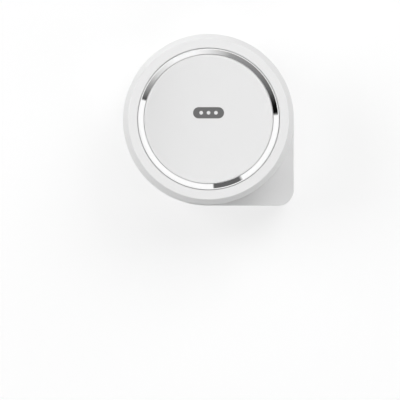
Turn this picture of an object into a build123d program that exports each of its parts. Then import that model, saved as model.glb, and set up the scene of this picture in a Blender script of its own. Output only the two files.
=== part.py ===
from build123d import *
from math import atan2, cos, degrees, radians, sin, sqrt
import os

# A wall-hung toothbrush sanitizer. The wall is the plane Y = 0 and the product faces -Y.
# A depth is a distance from the wall. X runs to the right and Z upwards, both from the
# lid's centre, so the origin is the middle of the adhesive pad. All sizes are in millimetres.

# Lid
lid_radius = 32.0
lid_wall = 2.0
lid_height = 14.0
lid_gap = 0.3
lid_chamfer_width = 1.9
lid_chamfer_height = 2.5
lid_inner_bevel = 1.5
lid_floor = 1.0
edge_round = 0.3
scoop_radius = 16.0
scoop_depth = 1.0
lid_open_angle = 100.0

# Ring and face panel let into the front of the lid
ring_outer_radius = 26.4
ring_width = 2.1
ring_seat = 1.6
ring_proud = 0.35
ring_bevel = 0.55
ring_joint = 0.25
panel_joint = 0.15
panel_rim = 0.15
panel_dish = 0.7
glue_fit = 0.05

# Body, whose outline is a circle with one square lower corner
body_overhang = 0.45
body_wall = 2.0
body_corner = 6.0
deck_depth = 20.0
deck_thickness = 2.0
wall_standoff = 1.2

# Adhesive pad, wall plate and its hooks
pad_width = 32.0
pad_height = 26.0
pad_thickness = 1.0
pad_corner = 3.0
plate_margin = 1.0
plate_thickness = 2.0
plate_gap = 0.3
hook_spread = 18.0
hook_width = 6.0
hook_height = 2.4
hook_level = 2.0
hook_lip = 1.4
hook_lip_height = 4.0
hook_side_gap = 0.3
hook_top_gap = 0.1
lift_travel = 5.0

# Back cover
cover_thickness = 1.6
cover_fit = 0.15
cover_boss_radius = 2.6
cover_boss_inset = 2.55
corner_boss_inset = 6.25

# Screws: shank radius, head radius, head height and length under the head
screw_fit = 0.05
cover_screw = (0.9, 1.7, 1.0, 6.0)
board_screw = (0.8, 1.5, 0.8, 2.8)
led_screw = (0.7, 1.3, 0.6, 2.4)
liner_screw = (0.7, 1.25, 0.6, 2.2)

# Brush: its neck passes through the lid's rim and rests in the fork
neck_radius = 3.1
neck_offset = -4.0
neck_height = 5.0
neck_slot_gap = 0.7
fork_width = 12.0
fork_length = 6.0
fork_height = 7.4
fork_lid_gap = 1.3
fork_mouth = 5.0
fork_seat = 0.8

# Brush chamber, a reflective tray in the deck and a shallow one in the lid
chamber_corner = 8.0
chamber_fork_gap = 4.0
chamber_draft = 2.0
chamber_wall = 0.8
chamber_flange = 1.5
chamber_fit = 0.15
lid_tray_height = 1.9
lid_tray_front_gap = 0.8
lid_tray_side_gap = 1.1
lid_tray_boss_gap = 1.0
lid_tray_draft = 1.6
lid_tray_wall = 0.7
lid_tray_flange = 3.4
liner_post_radius = 1.3
liner_post_gap = 0.15
liner_post_spread = 20.0

# Ultraviolet lamps under a quartz pane in the chamber's floor
pane_width = 8.0
pane_post_gap = 0.7
pane_thickness = 1.0
pane_ledge = 0.8
led_board_width = 12.0
led_board_standoff = 2.0
led_board_thickness = 1.0
led_board_corner = 1.0
led_board_gap = 0.9
led_size = 3.5
led_height = 0.7
led_lens_radius = 1.2
led_lens_depth = 0.35
led_spacing = 16.0
led_post_radius = 1.8
led_post_inset = 0.7

# Hinge with a vertical pin on the right
hinge_inset = 3.4
hinge_height = 2.6
knuckle_radius = 2.2
knuckle_gap = 0.25
lug_length = 3.8
lug_end_gap = 0.8
pin_radius = 0.8
pin_fit = 0.05
swing_clearance = 0.1
swing_side_gap = 0.4
pocket_gap = 0.6
pocket_wall = 1.2
arm_drop = 0.8

# Seal in the deck under the lid's rim
seal_width = 1.0
seal_depth = 0.8
seal_proud = 0.15
seal_end_gap = 1.5

# Magnets that hold the lid shut, and one that the lid sensor reads
magnet_radius = 2.0
magnet_height = 2.0
magnet_fit = 0.05
magnet_boss = 0.8
magnet_cover = 0.8
magnet_setback = 0.2
magnet_inset = 2.5
magnet_spread = 18.0
lid_boss_gap = 0.3

# Main board, with the parts on it
board_width = 12.0
board_length = 41.0
board_wall_gap = 2.45
board_thickness = 1.2
board_standoff = 2.1
board_boss_radius = 2.0
tab_width = 4.5
tab_length = 24.5
tab_boss_gap = 1.1
screw_edge = 2.4
low_screw_rise = 8.5
high_screw_drop = 3.0
# Each chip's level, width, length and height: charger, driver and coil
chips = [(-14.0, 5.0, 5.0, 1.0), (-6.0, 6.0, 4.0, 1.0), (1.0, 4.8, 4.8, 2.4)]
sensor_width = 4.0
sensor_thickness = 1.5
sensor_length = 3.0
sensor_leg = 0.45
sensor_leg_pitch = 1.27
sensor_gap = 0.2
sensor_inset = 4.2
sensor_rise = 4.5

# Battery and its tape under the deck
battery_width = 15.0
battery_length = 28.0
battery_side_gap = 3.45
battery_boss_gap = 1.6
battery_switch_gap = 1.2
battery_corner = 1.2
tape_thickness = 0.6
tape_margin = 1.5
lead_radius = 0.4
lead_pitch = 1.6
lead_bend = 0.8
lead_rise = 1.0

# Power button and switch on the right side
button_level = -11.0
button_length = 9.0
button_height = 4.0
button_fit = 0.15
button_proud = 0.15
button_flange = 1.0
button_flange_thickness = 0.8
button_flange_gap = 0.2
button_stem_radius = 1.2
button_stem_length = 2.0
button_travel = 0.6
button_end_gap = 0.15
button_depth = 10.4
switch_size = 4.0
switch_height = 3.4

# Status light
pipe_level = -19.5
pipe_radius = 1.0
pipe_fit = 0.05
pipe_gap = 0.2
lamp_size = 1.8

# Charging socket and its flap on the bottom
usb_side_gap = 13.95
usb_width = 8.94
usb_height = 3.26
usb_length = 7.3
usb_shell = 0.3
usb_back = 0.6
usb_port_gap = 0.3
tongue_width = 6.7
tongue_thickness = 0.7
tongue_length = 5.6
flap_thickness = 1.0
flap_depth_size = 6.0
flap_reach = 7.5
flap_pivot_reach = 6.0
flap_fit = 0.15
flap_plug = 0.9
flap_plug_gap = 0.4
flap_nail_gap = 1.3
anchor_length = 2.4
anchor_gap = 0.7
anchor_stem_radius = 0.9
anchor_barb_radius = 1.25
anchor_barb_height = 1.0

# Sizes that follow from the ones above
body_radius = lid_radius + body_overhang
body_inside = body_radius - body_wall
lid_inside = lid_radius - lid_wall
lid_front_depth = deck_depth + lid_height
rim_depth = deck_depth + lid_gap
ring_inner_radius = ring_outer_radius - ring_width
seat_depth = lid_front_depth - ring_seat
lid_floor_back = seat_depth - lid_floor
deck_back = deck_depth - deck_thickness
plate_front = pad_thickness + plate_thickness
cover_back = plate_front + plate_gap
cover_front = cover_back + cover_thickness
cover_screw_seat = cover_back + cover_screw[2]
hinge_x = lid_radius - hinge_inset
hinge_depth = deck_depth + hinge_height
pocket_face = hinge_x - knuckle_radius - pocket_gap
rim_drop = hinge_depth - rim_depth
rim_reach = sqrt((rim_drop + lid_gap - swing_clearance) ** 2 - rim_drop ** 2)
notch_half = sqrt(lid_radius ** 2 - (hinge_x + rim_reach) ** 2)
swing_reach = body_radius - hinge_x + swing_side_gap
swing_drop = hinge_inset * cos(radians(lid_open_angle))
notch_top = hinge_depth + (swing_reach - swing_drop) / sin(radians(lid_open_angle))
lug_end = notch_half - lug_end_gap
barrel_half = lug_end - lug_length - knuckle_gap
led_board_back = cover_front + led_board_standoff
led_board_front = led_board_back + led_board_thickness
pane_back = led_board_front + led_board_gap
chamber_back = pane_back + pane_thickness
chamber_floor_depth = chamber_back + chamber_wall
board_back = cover_front + board_standoff
board_front = board_back + board_thickness
usb_offset = body_inside - usb_side_gap
usb_depth = board_front + usb_height / 2
corner_spot = body_radius - corner_boss_inset
board_left = usb_offset - board_width / 2
board_right = usb_offset + board_width / 2
board_bottom = board_wall_gap - body_inside
board_top = board_bottom + board_length
tab_right = board_right + tab_width
tab_bottom = cover_boss_radius + tab_boss_gap - corner_spot
tab_top = tab_bottom + tab_length
low_screw = (board_left + screw_edge, board_bottom + low_screw_rise)
high_screw = (tab_right - screw_edge + edge_round, tab_top - high_screw_drop)
board_screw_spots = [low_screw, high_screw]
battery_right = body_inside - battery_side_gap
battery_offset = battery_right - battery_width / 2
battery_bottom = cover_boss_radius + battery_boss_gap - corner_spot
battery_top = battery_bottom + battery_length
battery_level = (battery_bottom + battery_top) / 2
sensor_offset = battery_right - battery_width + sensor_inset
sensor_level = battery_top + sensor_rise
magnet_boss_radius = magnet_radius + magnet_boss
neck_depth = deck_depth + neck_height
fork_top_depth = deck_depth + fork_height
fork_reach = sqrt(lid_inside ** 2 - (abs(neck_offset) + fork_width / 2) ** 2)
fork_level = fork_length / 2 + fork_lid_gap - fork_reach
tray_side = sensor_offset - magnet_boss_radius - lid_tray_boss_gap - lid_tray_flange
chamber_width = 2 * (tray_side - neck_offset)
chamber_bottom = fork_level + fork_length / 2 + chamber_fork_gap
corner_swing = lid_inside - lid_tray_side_gap - lid_tray_flange - chamber_corner
corner_offset = abs(neck_offset) + chamber_width / 2 - chamber_corner
chamber_top = chamber_corner + sqrt(corner_swing ** 2 - corner_offset ** 2)
chamber_height = chamber_top - chamber_bottom
chamber_level = (chamber_top + chamber_bottom) / 2
chamber_centre = (neck_offset, chamber_level)
lid_tray_floor_depth = lid_floor_back - lid_tray_front_gap - lid_tray_wall
lid_tray_mouth_depth = lid_tray_floor_depth - lid_tray_height
led_board_length = chamber_height - 2 * chamber_draft
led_post_spacing = led_board_length - 2 * (led_post_radius + led_post_inset)
pane_length = led_post_spacing - 2 * (led_post_radius + pane_post_gap)
button_face = body_inside - button_flange_gap
button_back = button_face - button_flange_thickness
stem_end = button_back - button_stem_length
switch_face = stem_end - button_travel - button_end_gap
pocket_back = deck_depth - magnet_cover - magnet_height - magnet_boss
battery_front = deck_back - tape_thickness
battery_back = board_front + switch_height + battery_switch_gap
magnet_x = -sqrt((lid_inside - magnet_inset) ** 2 - (magnet_spread / 2) ** 2)
magnet_spots = [(magnet_x, magnet_spread / 2), (magnet_x, -magnet_spread / 2)]
lid_magnet_spots = magnet_spots + [(sensor_offset, sensor_level)]
boss_step = (body_inside - cover_boss_inset) / sqrt(2)
boss_spots = [(-boss_step, boss_step), (boss_step, boss_step), (-boss_step, -boss_step)]
boss_spots += [(corner_spot, -corner_spot)]
lid_post_x = chamber_width / 2 + lid_tray_wall + liner_post_radius + liner_post_gap
lid_post_spots = [
    (neck_offset + side * lid_post_x, chamber_level + end * liner_post_spread / 2)
    for side in (-1, 1)
    for end in (-1, 1)
]
led_post_spots = [(neck_offset, chamber_level + end * led_post_spacing / 2) for end in (-1, 1)]
hook_spots = [-hook_spread / 2, hook_spread / 2]
flap_floor = body_radius - flap_thickness - flap_fit
usb_mouth = -(flap_floor - flap_plug - usb_port_gap)
flap_pivot_x = usb_offset + flap_pivot_reach
flap_pivot_z = -(body_radius - flap_thickness / 2)
anchor_x = flap_pivot_x + anchor_gap + anchor_length / 2


def front(depth):
    """Plane parallel to the wall at a depth, seen from the front."""
    return Plane.XZ.offset(depth)


def slab(sketch, back, face):
    """Front-view sketch made solid between two depths."""
    return extrude(front(back) * sketch, face - back)


def peg(spot, radius, back, face):
    """Round peg square to the wall."""
    return slab(Pos(*spot) * Circle(radius), back, face)


def upright(x, depth, radius, low, high):
    """Round rod along Z between two levels."""
    return extrude(Plane.XY.offset(low) * Pos(x, -depth) * Circle(radius), high - low)


def block(left, right, back, face, low, high):
    """Plain block between two sides, two depths and two levels."""
    centre = ((left + right) / 2, (low + high) / 2)
    return slab(Pos(*centre) * Rectangle(right - left, high - low), back, face)


def turned(points, rounded=()):
    """Body of revolution about the lid's axis, from (radius, depth) points, some rounded."""
    outline = make_face(Polyline(*[(radius, -depth) for radius, depth in points], close=True))
    for radius, depth in rounded:
        corner = outline.vertices().sort_by_distance((radius, -depth))[0]
        outline = fillet(corner, edge_round)
    return revolve(outline, Axis.Y)


def drop(radius, corner):
    """Circle whose lower right quarter runs out into a rounded square corner."""
    centre = radius - corner
    path = CenterArc((0, 0), radius, 0, 270)
    path += Line((0, -radius), (centre, -radius))
    path += CenterArc((centre, -centre), corner, 270, 90)
    path += Line((radius, -centre), (radius, 0))
    return make_face(path)


def chamber_outline(grow):
    """Rounded oblong of the brush chamber's mouth, grown all round."""
    shape = RectangleRounded(
        chamber_width + 2 * grow, chamber_height + 2 * grow, chamber_corner + grow
    )
    return Pos(*chamber_centre) * shape


def tray(mouth_depth, floor_depth, draft, grow):
    """Drafted block that fills a tray from its mouth to its floor, grown all round."""
    direction = 1 if floor_depth > mouth_depth else -1
    mouth = front(mouth_depth) * chamber_outline(grow)
    floor = front(floor_depth + direction * grow) * chamber_outline(grow - draft)
    return loft([mouth, floor])


def screw(spot, sizes, under_head, into):
    """Pan-head screw square to the wall; into is +1 towards the room and -1 towards the wall."""
    shank_radius, head_radius, head_height, length = sizes
    tip = under_head + into * length
    top = under_head - into * head_height
    shank = peg(spot, shank_radius, min(under_head, tip), max(under_head, tip))
    head = peg(spot, head_radius, min(under_head, top), max(under_head, top))
    driver = Pos(*spot) * RegularPolygon(head_radius / 2, 6)
    half_head = (under_head + top) / 2
    return shank + head - slab(driver, min(half_head, top), max(half_head, top))


def lead(points):
    """Insulated lead along straight runs with tangent bends."""
    path = FilletPolyline(*points, radius=lead_bend)
    return sweep((path ^ 0) * Circle(lead_radius), path=path)


def oblong_x(level, depth, length, height, inner, outer):
    """Stadium bar along X: its long way upright, between two distances to the right."""
    shape = Rot(0, 0, 90) * SlotOverall(length, height)
    start = Plane(origin=(inner, -depth, level), x_dir=(0, 1, 0), z_dir=(1, 0, 0))
    return extrude(start * shape, outer - inner)


def oblong_z(offset, depth, width, height, low, high):
    """Stadium bar along Z: its long way sideways, between two levels."""
    shape = SlotOverall(width, height)
    return extrude(Plane.XY.offset(low) * Pos(offset, -depth) * shape, high - low)


def seal_path(spread, proud):
    """Open ring under the lid's rim, broken at the hinge."""
    middle = lid_radius - lid_wall / 2
    inner = middle - seal_width / 2 - spread
    outer = middle + seal_width / 2 + spread
    base = deck_depth - seal_depth
    top = deck_depth + proud
    ring = turned([(inner, base), (outer, base), (outer, top), (inner, top)])
    half = notch_half + seal_end_gap - spread
    return ring - block(0, body_radius, base, top, -half, half)


def make_adhesive_pad():
    return slab(RectangleRounded(pad_width, pad_height, pad_corner), 0, pad_thickness)


def make_wall_plate():
    """Plate with two upward hooks that the body hangs on."""
    width = pad_width + 2 * plate_margin
    height = pad_height + 2 * plate_margin
    shape = RectangleRounded(width, height, pad_corner + plate_margin)
    plate = slab(shape, pad_thickness, plate_front)
    low = hook_level - hook_height / 2
    high = hook_level + hook_height / 2
    lip_back = cover_front + plate_gap
    for middle in hook_spots:
        left = middle - hook_width / 2
        right = middle + hook_width / 2
        plate += block(left, right, plate_front, lip_back, low, high)
        plate += block(left, right, lip_back, lip_back + hook_lip, low, high + hook_lip_height)
    return plate


def body_walls():
    """Drop-shaped cup with the deck at its front and open towards the wall."""
    outer = slab(drop(body_radius, body_corner), wall_standoff, deck_depth)
    ends = outer.faces().sort_by(Axis.Y)
    outer = fillet(ends[0].edges() + ends[-1].edges(), edge_round)
    inner = slab(drop(body_inside, body_corner - body_wall), wall_standoff, deck_back)
    return outer - inner


def hinge_lugs():
    """Two lugs on the deck that carry the pin, cut back to the lid's round outline."""
    lugs = Part()
    for side in (-1, 1):
        ends = sorted((side * lug_end, side * (lug_end - lug_length)))
        lugs += upright(hinge_x, hinge_depth, knuckle_radius, *ends)
        left = hinge_x - knuckle_radius
        right = hinge_x + knuckle_radius
        lugs += block(left, right, deck_back, hinge_depth, *ends)
    return lugs & peg((0, 0), lid_radius, deck_back, hinge_depth + knuckle_radius)


def port_cuts():
    """Recess for the flap, opening for the plug and hole for the flap's anchor."""
    left = usb_offset - flap_reach - flap_nail_gap
    right = anchor_x + anchor_length / 2 + flap_fit
    half = flap_depth_size / 2 + flap_fit
    cuts = block(left, right, usb_depth - half, usb_depth + half, -body_radius, -flap_floor)
    width = usb_width + 2 * usb_port_gap
    height = usb_height + 2 * usb_port_gap
    cuts += oblong_z(usb_offset, usb_depth, width, height, -flap_floor, -body_inside + body_wall)
    cuts += upright(anchor_x, usb_depth, anchor_stem_radius + glue_fit, -flap_floor, -body_inside)
    return cuts


def make_body_shell():
    shell = body_walls()
    for spot in boss_spots:
        shell += peg(spot, cover_boss_radius, cover_front, deck_back)
    for spot in magnet_spots:
        shell += peg(spot, magnet_boss_radius, pocket_back, deck_back)
    shell += hinge_lugs()
    shell -= slab(chamber_outline(chamber_wall + chamber_fit), deck_back, deck_depth)
    flange = chamber_outline(chamber_flange + chamber_fit)
    shell -= slab(flange, deck_depth - chamber_wall, deck_depth)
    shell -= seal_path(glue_fit, 0)
    shell -= fork_foot(chamber_fit)
    hole = cover_screw[0] + screw_fit
    for spot in boss_spots:
        shell -= peg(spot, hole, cover_front, cover_screw_seat + cover_screw[3] + screw_fit)
    for spot in magnet_spots:
        top = deck_depth - magnet_cover
        shell -= peg(spot, magnet_radius + magnet_fit, pocket_back, top)
    shell -= upright(hinge_x, hinge_depth, pin_radius + pin_fit, -lug_end, lug_end)
    length = button_length + 2 * button_fit
    height = button_height + 2 * button_fit
    shell -= oblong_x(button_level, button_depth, length, height, body_inside, body_radius)
    pipe_hole = 2 * (pipe_radius + pipe_fit)
    shell -= side_rod(pipe_level, pipe_hole / 2, body_inside, body_radius)
    return shell - port_cuts()


def side_rod(level, radius, inner, outer):
    """Round rod along X at the button's depth."""
    start = Plane(origin=(inner, -button_depth, level), x_dir=(0, 1, 0), z_dir=(1, 0, 0))
    return extrude(start * Circle(radius), outer - inner)


def make_back_cover():
    """Flat cover with slots for the hooks and bosses for the main board."""
    shape = drop(body_inside - cover_fit, body_corner - body_wall - cover_fit)
    cover = slab(shape, cover_back, cover_front)
    for spot in board_screw_spots:
        cover += peg(spot, board_boss_radius, cover_front, board_back)
        hole = board_screw[0] + screw_fit
        cover -= peg(spot, hole, board_front - board_screw[3] - screw_fit, board_back)
    low = hook_level - hook_height / 2 - lift_travel - hook_side_gap
    high = hook_level + hook_height / 2 + hook_top_gap
    half = hook_width / 2 + hook_side_gap
    for middle in hook_spots:
        cover -= block(middle - half, middle + half, cover_back, cover_front, low, high)
    head = cover_screw[1] + cover_fit
    for spot in boss_spots:
        cover -= peg(spot, cover_screw[0] + cover_fit, cover_back, cover_front)
        cover -= peg(spot, head, cover_back, cover_screw_seat)
    return cover


def make_cover_screws():
    return Compound([screw(spot, cover_screw, cover_screw_seat, 1) for spot in boss_spots])


def make_chamber_liner():
    """Reflective tray with a flange in the deck, a pane opening and posts for the lamp board."""
    flange = slab(chamber_outline(chamber_flange), deck_depth - chamber_wall, deck_depth)
    liner = flange + tray(deck_depth, chamber_floor_depth, chamber_draft, chamber_wall)
    for spot in led_post_spots:
        liner += peg(spot, led_post_radius, led_board_front, chamber_back)
    liner -= tray(deck_depth, chamber_floor_depth, chamber_draft, 0)
    opening = pane_shape(-2 * pane_ledge)
    liner -= slab(opening, chamber_back, chamber_floor_depth)
    for spot in led_post_spots:
        top = led_board_back + led_screw[3] + screw_fit
        liner -= peg(spot, led_screw[0] + screw_fit, led_board_front, top)
    return liner


def pane_shape(grow):
    """Upright stadium of the quartz pane, grown in both directions."""
    shape = Rot(0, 0, 90) * SlotOverall(pane_length + grow, pane_width + grow)
    return Pos(*chamber_centre) * shape


def make_quartz_pane():
    return slab(pane_shape(0), pane_back, chamber_back)


def make_led_board():
    shape = RectangleRounded(led_board_width, led_board_length, led_board_corner)
    board = slab(Pos(*chamber_centre) * shape, led_board_back, led_board_front)
    for spot in led_post_spots:
        board -= peg(spot, led_screw[0] + screw_fit, led_board_back, led_board_front)
    return board


def make_uvc_leds():
    """Two square lamp packages, each with a shallow lens seat."""
    lamps = []
    top = led_board_front + led_height
    for end in (-1, 1):
        spot = (neck_offset, chamber_level + end * led_spacing / 2)
        package = Pos(*spot) * Rectangle(led_size, led_size)
        lamp = slab(package, led_board_front, top)
        lamps.append(lamp - peg(spot, led_lens_radius, top - led_lens_depth, top))
    return Compound(lamps)


def make_led_screws():
    return Compound([screw(spot, led_screw, led_board_back, 1) for spot in led_post_spots])


def fork_foot(grow):
    """Foot of the fork let into the deck."""
    shape = Pos(neck_offset, fork_level) * Rectangle(fork_width + 2 * grow, fork_length + 2 * grow)
    return slab(shape, deck_depth - fork_seat, deck_depth)


def make_brush_fork():
    """Soft fork that the brush's neck snaps into from the front."""
    shape = Pos(neck_offset, fork_level) * RectangleRounded(fork_width, fork_length, edge_round)
    fork = slab(shape, deck_depth, fork_top_depth)
    half = fork_width / 2
    tips = fork.faces().sort_by(Axis.Y)[0].edges().filter_by(Axis.Z)
    fork = fillet(tips, (half - fork_mouth / 2) / 2)
    low = fork_level - fork_length / 2
    high = fork_level + fork_length / 2
    fork -= upright(neck_offset, neck_depth, neck_radius, low, high)
    mouth = fork_mouth / 2
    fork -= block(neck_offset - mouth, neck_offset + mouth, neck_depth, fork_top_depth, low, high)
    return fork + fork_foot(0)


def make_lid_seal():
    return seal_path(0, seal_proud)


def make_body_magnets():
    top = deck_depth - magnet_cover
    return Compound([peg(spot, magnet_radius, top - magnet_height, top) for spot in magnet_spots])


def make_hinge_pin():
    return upright(hinge_x, hinge_depth, pin_radius, -lug_end, lug_end)


def make_main_board():
    """Board with a side tab for the switch and the status lamp."""
    board = block(board_left, board_right, board_back, board_front, board_bottom, board_top)
    board += block(board_right, tab_right, board_back, board_front, tab_bottom, tab_top)
    for spot in board_screw_spots:
        board -= peg(spot, board_screw[0] + screw_fit, board_back, board_front)
    return board


def make_board_chips():
    """Charger, driver and coil on the main board."""
    parts = []
    centre = (board_left + board_right) / 2
    for level, width, length, height in chips:
        shape = Pos(centre, level) * RectangleRounded(width, length, edge_round)
        parts.append(slab(shape, board_front, board_front + height))
    return Compound(parts)


def make_board_screws():
    return Compound([screw(spot, board_screw, board_front, -1) for spot in board_screw_spots])


def make_lid_sensor():
    """Magnet sensor close under the deck, on three legs from the main board."""
    top = deck_back - sensor_gap
    back = top - sensor_length
    half = sensor_width / 2
    low = sensor_level - sensor_thickness / 2
    high = sensor_level + sensor_thickness / 2
    sensor = block(sensor_offset - half, sensor_offset + half, back, top, low, high)
    for step in (-1, 0, 1):
        middle = sensor_offset + step * sensor_leg_pitch
        leg = sensor_leg / 2
        legs = (sensor_level - leg, sensor_level + leg)
        sensor += block(middle - leg, middle + leg, board_front, back, *legs)
    return sensor


def make_power_switch():
    """Side-acting switch on the board's tab."""
    half = switch_size / 2
    low = button_level - half
    high = button_level + half
    left = switch_face - switch_size
    return block(left, switch_face, board_front, board_front + switch_height, low, high)


def make_power_button():
    """Oblong button nearly flush with the wall, with a flange behind it and a stem."""
    outer = body_radius + button_proud
    button = oblong_x(button_level, button_depth, button_length, button_height, button_face, outer)
    crown = button.faces().sort_by(Axis.X)[-1].edges()
    button = fillet(crown, edge_round)
    length = button_length + 2 * button_flange
    height = button_height + 2 * button_flange
    button += oblong_x(button_level, button_depth, length, height, button_back, button_face)
    return button + side_rod(button_level, button_stem_radius, stem_end, button_back)


def make_light_pipe():
    return side_rod(pipe_level, pipe_radius, tab_right + pipe_gap, body_radius)


def make_status_lamp():
    half = lamp_size / 2
    height = button_depth + half
    low = pipe_level - half
    high = pipe_level + half
    return block(tab_right - lamp_size, tab_right, board_front, height, low, high)


def make_usb_socket():
    """Metal shell of the charging socket, open downwards."""
    end = usb_mouth + usb_length
    socket = oblong_z(usb_offset, usb_depth, usb_width, usb_height, usb_mouth, end)
    width = usb_width - 2 * usb_shell
    height = usb_height - 2 * usb_shell
    return socket - oblong_z(usb_offset, usb_depth, width, height, usb_mouth, end - usb_back)


def make_usb_tongue():
    """Contact tongue inside the socket."""
    end = usb_mouth + usb_length - usb_back
    half = tongue_width / 2
    near = usb_depth - tongue_thickness / 2
    far = usb_depth + tongue_thickness / 2
    return block(usb_offset - half, usb_offset + half, near, far, end - tongue_length, end)


def make_battery():
    shape = Pos(battery_offset, battery_level) * Rectangle(battery_width, battery_length)
    cell = slab(shape, battery_back, battery_front)
    return fillet(cell.edges().filter_by(Axis.Z), battery_corner)


def make_battery_tape():
    width = battery_width - 2 * tape_margin
    length = battery_length - 2 * tape_margin
    shape = Pos(battery_offset, battery_level) * Rectangle(width, length)
    return slab(shape, battery_front, deck_back)


def make_battery_leads():
    """Two leads from the battery's top end down to the main board."""
    leads = []
    depth = (battery_front + battery_back) / 2
    start = battery_level + battery_length / 2
    for step in (0, 1):
        x = battery_offset + step * lead_pitch
        turn = start + 2 * lead_rise
        points = [(x, -depth, start), (x, -depth, turn), (x, -board_front, turn)]
        leads.append(lead(points))
    return Compound(leads)


def make_led_leads():
    """Two leads from the lamp board across to the main board."""
    leads = []
    start_x = neck_offset + led_board_width / 2 - lead_rise
    end_x = board_left + lead_rise
    top = board_front + lead_rise
    for step in (0, 1):
        level = chamber_level - led_spacing / 2 - lead_pitch * (2 + step)
        points = [(start_x, -led_board_front, level), (start_x, -top, level)]
        points += [(end_x, -top, level), (end_x, -board_front, level)]
        leads.append(lead(points))
    return Compound(leads)


def lid_cup():
    """Turned lid: chamfered front edge, seat for the ring and panel, hollow behind."""
    seat = ring_outer_radius + ring_joint
    bevel = lid_inside - lid_inner_bevel
    chamfer_start = lid_front_depth - lid_chamfer_height
    points = [(0, lid_floor_back), (bevel, lid_floor_back)]
    points += [(lid_inside, lid_floor_back - lid_inner_bevel), (lid_inside, rim_depth)]
    points += [(lid_radius, rim_depth), (lid_radius, chamfer_start)]
    points += [(lid_radius - lid_chamfer_width, lid_front_depth), (seat, lid_front_depth)]
    points += [(seat, seat_depth), (0, seat_depth)]
    corners = [(lid_radius, chamfer_start), (lid_radius - lid_chamfer_width, lid_front_depth)]
    return turned(points, corners)


def thumb_scoop():
    """Ball that hollows the lid's rear edge opposite the hinge, for a thumb."""
    reach = lid_radius + scoop_radius - scoop_depth
    return Pos(-reach, -rim_depth, 0) * Sphere(scoop_radius)


def hinge_pocket():
    """Inner wall that keeps the chamber closed behind the hinge."""
    half = notch_half + pocket_wall
    back = pocket_face - pocket_wall
    outer = block(back, lid_radius, rim_depth, lid_floor_back, -half, half)
    inner = block(pocket_face, lid_radius, rim_depth, lid_floor_back, -notch_half, notch_half)
    return (outer - inner) & peg((0, 0), lid_inside, rim_depth, lid_floor_back)


def hinge_barrel():
    """Lid's middle knuckle on an arm from the pocket wall."""
    barrel = upright(hinge_x, hinge_depth, knuckle_radius, -barrel_half, barrel_half)
    top = hinge_depth + knuckle_radius
    arm = block(pocket_face, hinge_x, hinge_depth - arm_drop, top, -barrel_half, barrel_half)
    return barrel + arm


def make_lid_shell():
    lid = lid_cup() + hinge_pocket() - thumb_scoop()
    lid -= block(pocket_face, lid_radius, rim_depth, notch_top, -notch_half, notch_half)
    lid += hinge_barrel()
    lid -= upright(hinge_x, hinge_depth, pin_radius + pin_fit, -barrel_half, barrel_half)
    slot = neck_radius + neck_slot_gap
    lid -= upright(neck_offset, neck_depth, slot, -lid_radius, -lid_radius / 2)
    left = neck_offset - slot
    right = neck_offset + slot
    lid -= block(left, right, rim_depth, neck_depth, -lid_radius, -lid_radius / 2)
    boss_end = rim_depth + lid_boss_gap
    for spot in lid_magnet_spots:
        lid += peg(spot, magnet_boss_radius, boss_end, lid_floor_back)
        pocket_top = boss_end + magnet_setback + magnet_height
        lid -= peg(spot, magnet_radius + magnet_fit, boss_end, pocket_top)
    post_end = lid_tray_mouth_depth + lid_tray_wall
    for spot in lid_post_spots:
        lid += peg(spot, liner_post_radius, post_end, lid_floor_back)
        hole_top = lid_tray_mouth_depth + liner_screw[3] + screw_fit
        lid -= peg(spot, liner_screw[0] + screw_fit, post_end, hole_top)
    return lid


def make_trim_ring():
    """Bright ring: a gently conical band with a narrow outer bevel."""
    top = lid_front_depth + ring_proud
    band = ring_outer_radius - ring_bevel
    points = [(ring_inner_radius, seat_depth), (ring_outer_radius, seat_depth)]
    points += [(ring_outer_radius, lid_front_depth), (band, top)]
    points += [(ring_inner_radius, lid_front_depth)]
    return turned(points)


def make_face_panel():
    """Round panel inside the ring with a shallow dished front."""
    edge = ring_inner_radius - panel_joint
    rim = lid_front_depth - panel_rim
    bottom = rim - panel_dish
    outline = Line((0, -seat_depth), (edge, -seat_depth))
    outline += Line((edge, -seat_depth), (edge, -rim))
    middle = dish_point(edge, rim, bottom)
    outline += ThreePointArc((edge, -rim), middle, (0, -bottom))
    outline += Line((0, -bottom), (0, -seat_depth))
    return revolve(make_face(outline), Axis.Y)


def dish_point(edge, rim, bottom):
    """Point half way along the dish's arc, which is level at the lid's axis."""
    rise = rim - bottom
    dish_radius = (edge ** 2 + rise ** 2) / (2 * rise)
    half_angle = degrees(atan2(edge, dish_radius - rise)) / 2
    x = dish_radius * sin(radians(half_angle))
    depth = bottom + dish_radius * (1 - cos(radians(half_angle)))
    return (x, -depth)


def make_lid_liner():
    """Shallow reflective tray screwed inside the lid."""
    mouth = lid_tray_mouth_depth
    flange = slab(chamber_outline(lid_tray_flange), mouth, mouth + lid_tray_wall)
    liner = flange + tray(mouth, lid_tray_floor_depth, lid_tray_draft, lid_tray_wall)
    liner -= tray(mouth, lid_tray_floor_depth, lid_tray_draft, 0)
    for spot in lid_post_spots:
        liner -= peg(spot, liner_screw[0] + screw_fit, mouth, mouth + lid_tray_wall)
    return liner


def make_liner_screws():
    return Compound([screw(spot, liner_screw, lid_tray_mouth_depth, 1) for spot in lid_post_spots])


def make_lid_magnets():
    start = rim_depth + lid_boss_gap + magnet_setback
    return Compound([peg(spot, magnet_radius, start, start + magnet_height) for spot in lid_magnet_spots])


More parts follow.
